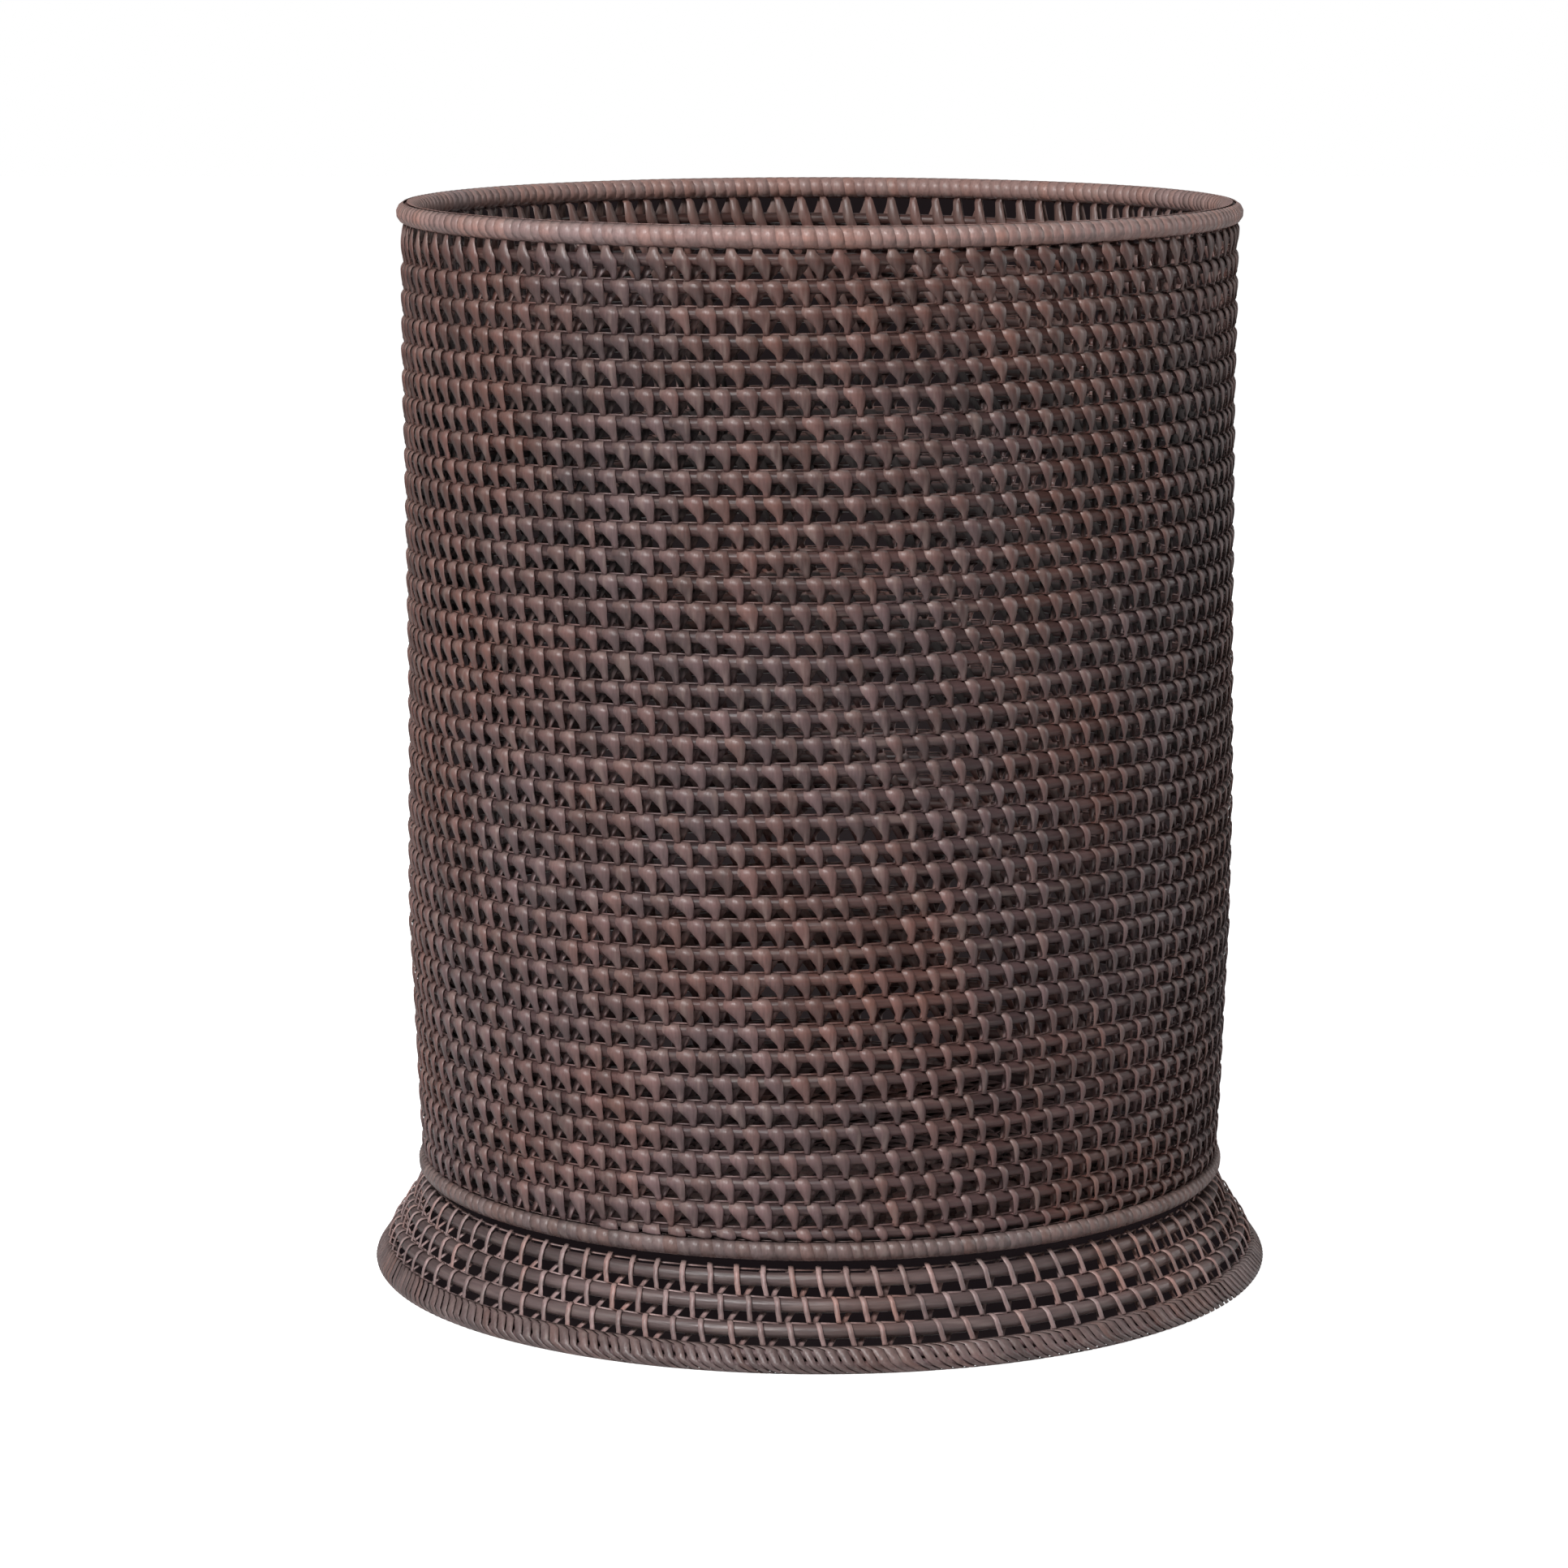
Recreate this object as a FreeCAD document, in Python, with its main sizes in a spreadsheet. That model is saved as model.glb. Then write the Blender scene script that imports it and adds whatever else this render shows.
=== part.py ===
import FreeCAD, Part
import Sketcher
import math
import os

# Round openwork rattan wastebasket, open at the top, on a flared skirt foot.
# Frame: +Z up, origin on the floor at the centre of the foot, millimetres.
# The wall is one rattan rod coiled upwards, spliced here once in every turn. Each turn runs level
# round the right and the back and climbs by one row round the left of the front, over the start of
# the coil. The last few turns start their climb early, at the back, so that the rod reaches the rim
# with no wide opening under it. Narrow cane strands run down the outside of the turns and back up
# the inside, leaning opposite ways, and meet in every gap, which leaves the rows of holes.

doc = FreeCAD.newDocument("rattan_wastebasket")

# ---------------------------------------------------------------- driving dimensions
SIZES = [
    ("overall_height", 318.0, "floor to the top of the rim"),
    ("wall_outer_radius", 122.9, "outside of the strands on the straight wall"),
    ("wall_draw_in", 2.9, "how much nearer the axis the wall is at the bottom"),
    ("draw_in_turns", 9.0, "lowest turns of the wall, which draw in"),
    ("wall_turns", 38.0, "turns of the wall coil"),
    ("coil_joint_angle", 310.0, "where a turn stops climbing and runs level, from +X, in degrees"),
    ("coil_tip_height", 0.9, "height of the wall rod left at its two thinned ends"),
    ("early_climb", 3.7, "how much of its climb the last turn makes at the back"),
    ("early_turns", 7.0, "topmost turns that start to climb early"),
    ("coil_gap", 0.8, "opening between the wall coil and the wrapped rings it lies against"),
    ("wall_rod_radius", 1.75, "wall rod"),
    ("rod_radius", 2.1, "foot and base rods"),
    ("strip_thickness", 0.7, "cane strip"),
    ("strip_width", 2.6, "cane strip"),
    ("fit_gap", 0.1, "clearance of a strip on the rod it lies on"),
    ("seat_gap", 0.3, "clearance where ends and rings meet"),
    ("wall_stitches", 104.0, "strands around the wall"),
    ("rim_overhang", 1.1, "how far the rim stands out past the wall"),
    ("rim_core_radius", 2.4, "rod inside the wrapped rim"),
    ("hoop_core_radius", 2.1, "rod inside the wrapped body hoop"),
    ("hoop_overhang", 1.0, "how far the body hoop stands out past the foot of the wall"),
    ("hoop_height", 31.6, "centre of the body hoop above the floor"),
    ("foot_spread", 13.2, "how far the foot edge stands out past the body hoop"),
    ("skirt_inset", 5.2, "how far the skirt passes inside the centre of the body hoop"),
    ("edge_core_radius", 1.4, "each of the two rods inside the foot edge"),
    ("edge_core_gap", 0.6, "clearance between those two rods"),
    ("edge_fit_gap", 0.3, "clearance of the wrapping on those two rods"),
    ("edge_gap", 2.2, "opening between the foot rods and the wrapped rings beside them"),
    ("foot_rods", 3.0, "hoops in the skirt above its edge"),
    ("foot_stitches", 96.0, "strands around the foot"),
    ("sole_depth", 0.3, "how much of the foot edge is flattened to stand on"),
    ("base_pitch", 7.2, "spacing of the turns in the base"),
    ("base_eye_radius", 5.0, "first half turn of the base coil"),
    ("base_stitches", 12.0, "strands of each length in the base"),
]

sheet = doc.addObject("Spreadsheet::Sheet", "Sizes")
for line, (alias, value, note) in enumerate(SIZES, start=1):
    sheet.set("A%d" % line, alias)
    sheet.set("B%d" % line, str(value))
    sheet.set("C%d" % line, note)
    sheet.setAlias("B%d" % line, alias)
doc.recompute()


def size(alias):
    return float(sheet.get(alias))


# ---------------------------------------------------------------- shared expressions
WRAP = "(Sizes.fit_gap + Sizes.strip_thickness)"
RIM_SECTION = "(Sizes.rim_core_radius + %s)" % WRAP
HOOP_SECTION = "(Sizes.hoop_core_radius + %s)" % WRAP
EDGE_INSIDE = "(Sizes.edge_core_radius + Sizes.edge_fit_gap)"
EDGE_SECTION = "(%s + Sizes.strip_thickness)" % EDGE_INSIDE
RIM_RADIUS = "(Sizes.wall_outer_radius + Sizes.rim_overhang - %s)" % RIM_SECTION
RIM_HEIGHT = "(Sizes.overall_height - %s)" % RIM_SECTION
RIM_UNDERSIDE = "(Sizes.overall_height - 2 * %s)" % RIM_SECTION
HOOP_OUTSIDE = "(Sizes.wall_outer_radius - Sizes.wall_draw_in + Sizes.hoop_overhang)"
HOOP_RADIUS = "(%s - %s)" % (HOOP_OUTSIDE, HOOP_SECTION)
HOOP_TOP = "(Sizes.hoop_height + %s)" % HOOP_SECTION
COIL_RADIUS = "(Sizes.wall_outer_radius - %s - Sizes.wall_rod_radius)" % WRAP
COIL_TOP = "(%s - Sizes.coil_gap)" % RIM_UNDERSIDE
COIL_BOTTOM = "(%s + Sizes.coil_gap)" % HOOP_TOP
COIL_RISE = "(%s - %s - 2 * Sizes.wall_rod_radius)" % (COIL_TOP, COIL_BOTTOM)
CLIMB = "(%s / (Sizes.wall_turns - 1))" % COIL_RISE
# How far round each end of the coil is thinned, in degrees, until only the tip height is left.
TIP_RISE = "((2 * Sizes.wall_rod_radius - Sizes.coil_tip_height) / %s)" % CLIMB
TIP_ANGLE = "(acos(1 - 2 * %s) / 1 deg)" % TIP_RISE
EDGE_RADIUS = "(%s + Sizes.foot_spread - %s)" % (HOOP_OUTSIDE, EDGE_SECTION)
EDGE_HEIGHT = "(%s - Sizes.sole_depth)" % EDGE_SECTION
EDGE_SPACING = "(2 * Sizes.edge_core_radius + Sizes.edge_core_gap)"
BORDER_RADIUS = "(%s - %s - Sizes.seat_gap - Sizes.rod_radius)" % (HOOP_RADIUS, HOOP_SECTION)


def number(expression):
    return float(sheet.evalExpression(expression.replace("Sizes.", "")))


def bind(item, prop, expression):
    item.setExpression(prop, expression)


sub_parts = []


def keep(item, label):
    item.Label = label
    sub_parts.append(item)
    return item


# ---------------------------------------------------------------- ring makers
def rod_ring(label, ring_radius, rod_radius, height):
    ring = doc.addObject("Part::Torus", label)
    bind(ring, "Radius1", ring_radius)
    bind(ring, "Radius2", rod_radius)
    bind(ring, "Placement.Base.z", height)
    return keep(ring, label)


def origin_plane(body, role):
    return [item for item in body.Origin.OriginFeatures if item.Role == role][0]


def new_sketch(body, name, role):
    sketch = body.newObject("Sketcher::SketchObject", name)
    sketch.AttachmentSupport = [(origin_plane(body, role), "")]
    sketch.MapMode = "FlatFace"
    return sketch


def constrain(sketch, name, expression, *reference):
    row = sketch.addConstraint(Sketcher.Constraint(*reference))
    sketch.renameConstraint(row, name)
    bind(sketch, "Constraints." + name, expression)


def place_point(sketch, name, index, point, across, up):
    constrain(sketch, name + "_across", across, "DistanceX", -1, 1, index, point, number(across))
    constrain(sketch, name + "_up", up, "DistanceY", -1, 1, index, point, number(up))


def turn_about_axis(body, sketch, kind, name):
    feature = body.newObject(kind, name)
    feature.Profile = sketch
    feature.ReferenceAxis = (sketch, ["V_Axis"])
    feature.Angle = 360.0
    return feature


def wrapped_tube(label, ring_radius, core_radius, height):
    # Closely wound strip around one rod: a thin tube bent into a ring.
    body = doc.addObject("PartDesign::Body", label)
    sketch = new_sketch(body, label + "_section", "XZ_Plane")
    centre = FreeCAD.Vector(number(ring_radius), number(height), 0)
    inner = "%s + Sizes.fit_gap" % core_radius
    outer = "%s + %s" % (core_radius, WRAP)
    for name, radius in (("inner", inner), ("outer", outer)):
        circle = sketch.addGeometry(Part.Circle(centre, FreeCAD.Vector(0, 0, 1), number(radius)))
        constrain(sketch, name + "_radius", radius, "Radius", circle, number(radius))
        place_point(sketch, name, circle, 3, ring_radius, height)
    turn_about_axis(body, sketch, "PartDesign::Revolution", label + "_ring")
    return keep(body, label)


# ---------------------------------------------------------------- rim, wall coil, body hoop
rod_ring("rim_core", RIM_RADIUS, "Sizes.rim_core_radius", RIM_HEIGHT)
wrapped_tube("rim_wrapping", RIM_RADIUS, "Sizes.rim_core_radius", RIM_HEIGHT)


def joint(turn):
    # Ring radius and height of the rod at the end of a turn's main climb, to the right of the front.
    drawn_in = "Sizes.wall_draw_in * max(0; 1 - %d / Sizes.draw_in_turns)" % max(turn, 0)
    radius = "(%s - %s)" % (COIL_RADIUS, drawn_in)
    height = "(%s + Sizes.wall_rod_radius + %d * %s)" % (COIL_BOTTOM, turn, CLIMB)
    return radius, height


def far_joint(turn):
    # The same half a turn later, at the back, where the topmost turns have climbed early.
    radius, height = joint(turn)
    below_last = "(Sizes.wall_turns - 2 - %d)" % turn
    early = "Sizes.early_climb * max(0; 1 - %s / Sizes.early_turns)" % below_last
    return radius, "(%s + %s)" % (height, early)


def half_turn(name, first, last, joint_angle, skipped="0", sweep="180"):
    # Half a torus in a tilted plane: it leaves one joint level and meets the next one level.
    half = doc.addObject("Part::Torus", name)
    across = "((%s + %s) / 2)" % (first[0], last[0])
    aside = "((%s - %s) / 2)" % (first[0], last[0])
    rise = "((%s - %s) / 2)" % (last[1], first[1])
    bind(half, "Radius1", "sqrt(%s ^ 2 + %s ^ 2)" % (across, rise))
    bind(half, "Radius2", "Sizes.wall_rod_radius")
    bind(half, "Angle3", "%s * 1 deg" % sweep)
    base = "vector(%s * cos(%s * 1 deg); %s * sin(%s * 1 deg); %s + %s)" % (
        aside, joint_angle, aside, joint_angle, first[1], rise)
    tilt = "rotation(%s; atan(%s / %s); 0)" % (joint_angle, rise, across)
    start = "rotation(%s; 0; 0)" % skipped
    bind(half, "Placement", "placement(%s; %s * %s)" % (base, tilt, start))
    return half


def thinned(half, name, trim_from):
    # The end of the rod is pared flat where it lies against a wrapped ring.
    slab = doc.addObject("Part::Box", name + "_slab")
    bind(slab, "Length", "4 * " + COIL_RADIUS)
    bind(slab, "Width", "4 * " + COIL_RADIUS)
    bind(slab, "Height", CLIMB)
    bind(slab, "Placement.Base.x", "-2 * " + COIL_RADIUS)
    bind(slab, "Placement.Base.y", "-2 * " + COIL_RADIUS)
    bind(slab, "Placement.Base.z", trim_from)
    pared = doc.addObject("Part::Cut", name)
    pared.Base = half
    pared.Tool = slab
    return pared


# A climbing half turn and the level one after it make each length of the wall rod.
wall_turns = round(size("wall_turns"))
far_angle = "(Sizes.coil_joint_angle - 180)"
wall_rods = []
for turn in range(wall_turns):
    label = "wall_rod_%02d" % (wall_turns - turn)
    below, here, above = far_joint(turn - 1), joint(turn), joint(turn + 1)
    if turn > 0:
        climbing = half_turn(label + "_climbing", below, here, far_angle)
    else:
        skipped = "(180 - %s)" % TIP_ANGLE
        start = half_turn("coil_start", below, here, far_angle, skipped, TIP_ANGLE)
        climbing = thinned(start, "coil_start_pared", "%s - %s" % (COIL_BOTTOM, CLIMB))
    if turn < wall_turns - 1:
        level = half_turn(label + "_level", here, far_joint(turn), "Sizes.coil_joint_angle")
    else:
        end = half_turn("coil_end", here, above, "Sizes.coil_joint_angle", "0", TIP_ANGLE)
        level = thinned(end, "coil_end_pared", COIL_TOP)
    rod = doc.addObject("Part::Fuse", label)
    rod.Base = climbing
    rod.Tool = level
    wall_rods.append(keep(rod, label))

rod_ring("body_hoop_core", HOOP_RADIUS, "Sizes.hoop_core_radius", "Sizes.hoop_height")
wrapped_tube("body_hoop_wrapping", HOOP_RADIUS, "Sizes.hoop_core_radius", "Sizes.hoop_height")


# ---------------------------------------------------------------- flared foot
SKIRT_RISE = "(Sizes.hoop_height - %s)" % EDGE_HEIGHT
SKIRT_ANGLE = "atan((%s - %s + Sizes.skirt_inset) / %s)" % (EDGE_RADIUS, HOOP_RADIUS, SKIRT_RISE)
HOOP_ALONG = "(%s * cos(%s) - (%s - %s) * sin(%s))" % (
    SKIRT_RISE, SKIRT_ANGLE, HOOP_RADIUS, EDGE_RADIUS, SKIRT_ANGLE)
HOOP_ASIDE = "(Sizes.skirt_inset * cos(%s) - Sizes.rod_radius - %s)" % (SKIRT_ANGLE, WRAP)
HOOP_REACH = "(%s + Sizes.seat_gap)" % HOOP_SECTION
# Distance up the slope at which the skirt's outer strands meet the body hoop.
SKIRT_TOP = "(%s - sqrt(%s ^ 2 - %s ^ 2))" % (HOOP_ALONG, HOOP_REACH, HOOP_ASIDE)


def on_skirt(distance):
    # Centre line of the skirt: ring radius and height at a distance up the slope from the edge.
    radius = "(%s - %s * sin(%s))" % (EDGE_RADIUS, distance, SKIRT_ANGLE)
    height = "(%s + %s * cos(%s))" % (EDGE_HEIGHT, distance, SKIRT_ANGLE)
    return radius, height


rod_ring("foot_edge_rod_lower", EDGE_RADIUS, "Sizes.edge_core_radius", EDGE_HEIGHT)
upper_edge = on_skirt(EDGE_SPACING)
rod_ring("foot_edge_rod_upper", upper_edge[0], "Sizes.edge_core_radius", upper_edge[1])

FIRST_FOOT_ROD = "(%s + %s + Sizes.edge_gap + Sizes.rod_radius)" % (EDGE_SPACING, EDGE_SECTION)
LAST_FOOT_ROD = "(%s - Sizes.edge_gap - Sizes.rod_radius)" % SKIRT_TOP
FOOT_PITCH = "((%s - %s) / (Sizes.foot_rods - 1))" % (LAST_FOOT_ROD, FIRST_FOOT_ROD)
foot_rods = []
for row in range(round(size("foot_rods"))):
    ring_radius, height = on_skirt("(%s + %d * %s)" % (FIRST_FOOT_ROD, row, FOOT_PITCH))
    foot_rods.append(rod_ring("foot_rod_%d" % (row + 1), ring_radius, "Sizes.rod_radius", height))


def slot_loop(sketch, name, radius):
    # Two half circles about the two edge rods, joined by the lines that touch both.
    slope = math.radians(number(SKIRT_ANGLE))
    centres = [FreeCAD.Vector(number(EDGE_RADIUS), number(EDGE_HEIGHT), 0),
               FreeCAD.Vector(number(upper_edge[0]), number(upper_edge[1]), 0)]
    outward = FreeCAD.Vector(math.cos(slope), math.sin(slope), 0) * number(radius)
    normal = FreeCAD.Vector(0, 0, 1)
    low_circle = Part.Circle(centres[0], normal, number(radius))
    high_circle = Part.Circle(centres[1], normal, number(radius))
    low = sketch.addGeometry(Part.ArcOfCircle(low_circle, slope - math.pi, slope))
    high = sketch.addGeometry(Part.ArcOfCircle(high_circle, slope, slope + math.pi))
    front = sketch.addGeometry(Part.LineSegment(centres[0] + outward, centres[1] + outward))
    back = sketch.addGeometry(Part.LineSegment(centres[1] - outward, centres[0] - outward))
    for first, first_end, second, second_end in ((low, 2, front, 1), (front, 2, high, 1),
                                                 (high, 2, back, 1), (back, 2, low, 1)):
        sketch.addConstraint(Sketcher.Constraint("Tangent", first, first_end, second, second_end))
    sketch.addConstraint(Sketcher.Constraint("Equal", low, high))
    place_point(sketch, name + "_low", low, 3, EDGE_RADIUS, EDGE_HEIGHT)
    place_point(sketch, name + "_high", high, 3, upper_edge[0], upper_edge[1])
    constrain(sketch, name + "_radius", radius, "Radius", low, number(radius))


edge = doc.addObject("PartDesign::Body", "foot_edge_wrapping")
edge_section = new_sketch(edge, "edge_section", "XZ_Plane")
slot_loop(edge_section, "inside", EDGE_INSIDE)
slot_loop(edge_section, "outside", EDGE_SECTION)
edge_ring = turn_about_axis(edge, edge_section, "PartDesign::Revolution", "edge_ring")
doc.recompute()
round_volume = edge_ring.Shape.Volume

# The foot edge is flattened at floor height, so the basket stands on a flat ring.
sole = new_sketch(edge, "sole_section", "XZ_Plane")
sole_width = 4 * number(EDGE_SECTION)
sole_left = number(EDGE_RADIUS) - sole_width / 2
sole_right = sole_left + sole_width
corners = [FreeCAD.Vector(sole_left, -sole_width, 0), FreeCAD.Vector(sole_right, -sole_width, 0),
           FreeCAD.Vector(sole_right, 0, 0), FreeCAD.Vector(sole_left, 0, 0)]
for side in range(4):
    sole.addGeometry(Part.LineSegment(corners[side], corners[(side + 1) % 4]))
for side in range(4):
    sole.addConstraint(Sketcher.Constraint("Coincident", side, 2, (side + 1) % 4, 1))
for side, direction in ((0, "Horizontal"), (1, "Vertical"), (2, "Horizontal"), (3, "Vertical")):
    sole.addConstraint(Sketcher.Constraint(direction, side))
place_point(sole, "inner_top", 3, 1, "%s - 2 * %s" % (EDGE_RADIUS, EDGE_SECTION), "0 * Sizes.seat_gap")
constrain(sole, "width", "4 * " + EDGE_SECTION, "DistanceX", 0, 1, 0, 2, sole_width)
constrain(sole, "depth", "4 * " + EDGE_SECTION, "DistanceY", 0, 1, 3, 1, sole_width)
flat_cut = turn_about_axis(edge, sole, "PartDesign::Groove", "flat_sole")
doc.recompute()
if flat_cut.Shape.Volume >= round_volume:
    raise RuntimeError("the sole was not cut flat")
keep(edge, "foot_edge_wrapping")


# ---------------------------------------------------------------- strands over the rods
def corner_curves(stations, strip_width):
    # stations: (turn angle, radius and height of the face on the rods, and of the outer face).
    curves = []
    for face, side in ((0, -1), (0, 1), (1, 1), (1, -1)):
        points = []
        for angle, faces in stations:
            radius, height = faces[face]
            turn = angle + side * strip_width / 2 / radius
            points.append(FreeCAD.Vector(radius * math.cos(turn), radius * math.sin(turn), height))
        curve = Part.BSplineCurve()
        curve.interpolate(points)
        curves.append(curve.toShape())
    return curves


def strand(stations, strip_width):
    curves = corner_curves(stations, strip_width)
    faces = []
    for side in range(4):
        faces.append(Part.makeRuledSurface(curves[side], curves[(side + 1) % 4]))
    for end in (0, -1):
        corners = [curve.Vertexes[end].Point for curve in curves]
        faces.append(Part.Face(Part.makePolygon(corners + corners[:1])))
    shell = Part.Shell(faces)
    shell.sewShape()
    solid = Part.Solid(shell)
    if solid.Volume < 0:
        solid.reverse()
    return solid


def strand_group(label, strands):
    item = doc.addObject("Part::Feature", label)
    item.Shape = Part.Compound(strands)
    item.Placement = FreeCAD.Placement()
    return keep(item, label)


wall_face = size("wall_rod_radius") + size("fit_gap")
foot_face = size("rod_radius") + size("fit_gap")
coil_joints = [[number(value) for value in joint(turn)] for turn in range(wall_turns + 1)]
far_joints = [[number(value) for value in far_joint(turn)] for turn in range(-1, wall_turns)]


def coil_centre(turn, angle):
    # Ring radius and height of the wall rod, at an angle measured from where this turn climbs.
    if angle < math.pi:
        ends = (far_joints[turn], coil_joints[turn])
    else:
        ends = (coil_joints[turn], far_joints[turn + 1])
    share = (1 - math.cos(angle % math.pi)) / 2
    return [first + share * (last - first) for first, last in zip(*ends)]


def wall_strand(start_angle, side, lean):
    # A strand moves along by half a stitch from one turn to the next.
    climb = number(CLIMB)
    top = number(RIM_UNDERSIDE) - size("seat_gap")
    low = number(HOOP_TOP) + size("seat_gap")
    half_stitch = math.pi / size("wall_stitches")
    first_joint = math.radians(size("coil_joint_angle")) - math.pi
    centres = [(coil_joints[-1][0], top)]
    for turn in reversed(range(wall_turns)):
        crossing = start_angle + lean * half_stitch * (top - coil_joints[turn][1]) / climb
        centre = coil_centre(turn, (crossing - first_joint) % (2 * math.pi))
        if low < centre[1] < top:
            centres.append(centre)
    centres.append((coil_joints[0][0], low))
    stations = []
    for radius, height in centres:
        angle = start_angle + lean * half_stitch * (top - height) / climb
        near = radius + side * wall_face
        far = near + side * size("strip_thickness")
        stations.append((angle, [(near, height), (far, height)]))
    return strand(stations, size("strip_width"))


def wall_strands(side, lean):
    count = round(size("wall_stitches"))
    return [wall_strand(2 * math.pi * place / count, side, lean) for place in range(count)]


def foot_stations(side, lean):
    slope = math.radians(number(SKIRT_ANGLE))
    up = (-math.sin(slope), math.cos(slope))
    out = (math.cos(slope), math.sin(slope))
    edge_centre = (number(EDGE_RADIUS), number(EDGE_HEIGHT))
    # Lower end: seated on the round shoulder of the wrapped edge.
    reach = number(EDGE_SECTION) + size("seat_gap")
    start = number(EDGE_SPACING) + math.sqrt(reach ** 2 - foot_face ** 2)
    end = number(SKIRT_TOP)
    half_stitch = math.pi / size("foot_stitches")
    stations = []
    steps = 2 * (len(foot_rods) + 1)
    for step in range(steps + 1):
        distance = end + (start - end) * step / steps
        angle = lean * half_stitch * (end - distance) / number(FOOT_PITCH)
        faces = []
        for face in (foot_face, foot_face + size("strip_thickness")):
            faces.append((edge_centre[0] + up[0] * distance + side * out[0] * face,
                          edge_centre[1] + up[1] * distance + side * out[1] * face))
        stations.append((angle, faces))
    return stations


def foot_strands(side, lean):
    first = strand(foot_stations(side, lean), size("strip_width"))
    count = round(size("foot_stitches"))
    copies = []
    for place in range(count):
        turned = first.copy()
        turned.rotate(FreeCAD.Vector(0, 0, 0), FreeCAD.Vector(0, 0, 1), 360.0 * place / count)
        copies.append(turned)
    return copies


doc.recompute()
strand_group("wall_outer_binding", wall_strands(1, 1))
strand_group("wall_inner_binding", wall_strands(-1, -1))
strand_group("foot_outer_binding", foot_strands(1, 1))
strand_group("foot_inner_binding", foot_strands(-1, -1))

# ---------------------------------------------------------------- base
rod_ring("base_border_rod", BORDER_RADIUS, "Sizes.rod_radius", "Sizes.hoop_height")

# One rod wound flat from the middle: half circles about two centres, each half a pitch larger.
half_pitch = size("base_pitch") / 2
largest = number(BORDER_RADIUS) - size("base_pitch") - half_pitch / 2
half_turns = 1 + int((largest - size("base_eye_radius")) / half_pitch)
coil_arcs = []
for turn in range(half_turns):
    radius = size("base_eye_radius") + turn * half_pitch
    centre_x = -half_pitch / 2 if turn % 2 == 0 else half_pitch / 2
    circle = Part.Circle(FreeCAD.Vector(centre_x, 0, 0), FreeCAD.Vector(0, 0, 1), radius)
    first_angle = math.pi * (turn % 2)
    coil_arcs.append(Part.Arc(circle, first_angle, first_angle + math.pi).toShape())
coil_path = doc.addObject("Part::Feature", "coil_path")
coil_path.Shape = Part.Wire(coil_arcs)

coil_section = doc.addObject("Part::Circle", "coil_section")
bind(coil_section, "Radius", "Sizes.rod_radius")
coil_section.Placement = FreeCAD.Placement(coil_arcs[0].Vertexes[0].Point,
                                           FreeCAD.Rotation(FreeCAD.Vector(1, 0, 0), 90))
coil = doc.addObject("Part::Sweep", "base_coil")
coil.Sections = [coil_section]
coil.Spine = (coil_path, [])
coil.Solid = True
coil.Frenet = True
bind(coil, "Placement.Base.z", "Sizes.hoop_height")
keep(coil, "base_coil")


def base_binding(label, strip_bottom):
    # Radial strands in three lengths; each set starts where the last one has spread far apart.
    body = doc.addObject("PartDesign::Body", label)
    bind(body, "Placement.Base.z", strip_bottom)
    step = 360.0 / size("base_stitches")
    for name, start_turns, turned, copies in (("long", 1, 0.0, 1), ("middle", 4, step / 2, 1),
                                              ("short", 8, step / 4, 2)):
        sketch = new_sketch(body, "%s_%s_outline" % (label, name), "XY_Plane")
        sketch.AttachmentOffset = FreeCAD.Placement(FreeCAD.Vector(0, 0, 0),
                                                    FreeCAD.Rotation(FreeCAD.Vector(0, 0, 1), turned))
        start = "Sizes.base_eye_radius + %d * Sizes.base_pitch" % start_turns
        length = "%s + Sizes.rod_radius - (%s)" % (BORDER_RADIUS, start)
        near = number(start)
        far = near + number(length)
        half = size("strip_width") / 2
        outline = [FreeCAD.Vector(near, -half, 0), FreeCAD.Vector(far, -half, 0),
                   FreeCAD.Vector(far, half, 0), FreeCAD.Vector(near, half, 0)]
        for side in range(4):
            sketch.addGeometry(Part.LineSegment(outline[side], outline[(side + 1) % 4]))
        for side in range(4):
            sketch.addConstraint(Sketcher.Constraint("Coincident", side, 2, (side + 1) % 4, 1))
        for side, direction in ((0, "Horizontal"), (1, "Vertical"), (2, "Horizontal"), (3, "Vertical")):
            sketch.addConstraint(Sketcher.Constraint(direction, side))
        place_point(sketch, "near_corner", 0, 1, start, "-Sizes.strip_width / 2")
        constrain(sketch, "strip_length", length, "DistanceX", 0, 1, 0, 2, number(length))
        constrain(sketch, "strip_width", "Sizes.strip_width", "DistanceY", 1, 1, 1, 2, 2 * half)
        pad = body.newObject("PartDesign::Pad", "%s_%s_strip" % (label, name))
        pad.Profile = sketch
        bind(pad, "Length", "Sizes.strip_thickness")
        pattern = body.newObject("PartDesign::PolarPattern", "%s_%s_set" % (label, name))
        pattern.Originals = [pad]
        pattern.Axis = (origin_plane(body, "Z_Axis"), [""])
        pattern.Angle = 360.0
        pattern.Occurrences = round(size("base_stitches")) * copies
        body.Tip = pattern
        doc.recompute()
    return keep(body, label)


base_binding("base_upper_binding", "Sizes.hoop_height + Sizes.rod_radius + Sizes.fit_gap")
base_binding("base_lower_binding", "Sizes.hoop_height - Sizes.rod_radius - %s" % WRAP)

# ---------------------------------------------------------------- check and write
doc.recompute()
for item in doc.Objects:
    if "Invalid" in item.State or "Error" in item.State:
        raise RuntimeError("%s did not build: %s" % (item.Label, item.State))
os.makedirs("parts", exist_ok=True)
for item in sub_parts:
    shape = item.Shape
    if shape.isNull() or not shape.isValid():
        raise RuntimeError("%s has no valid shape" % item.Label)
for item in sub_parts:
    item.Shape.exportStep(os.path.join("parts", item.Label + ".step"))
print("%d sub-parts written, %d turns of wall rod" % (len(sub_parts), wall_turns))
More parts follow.
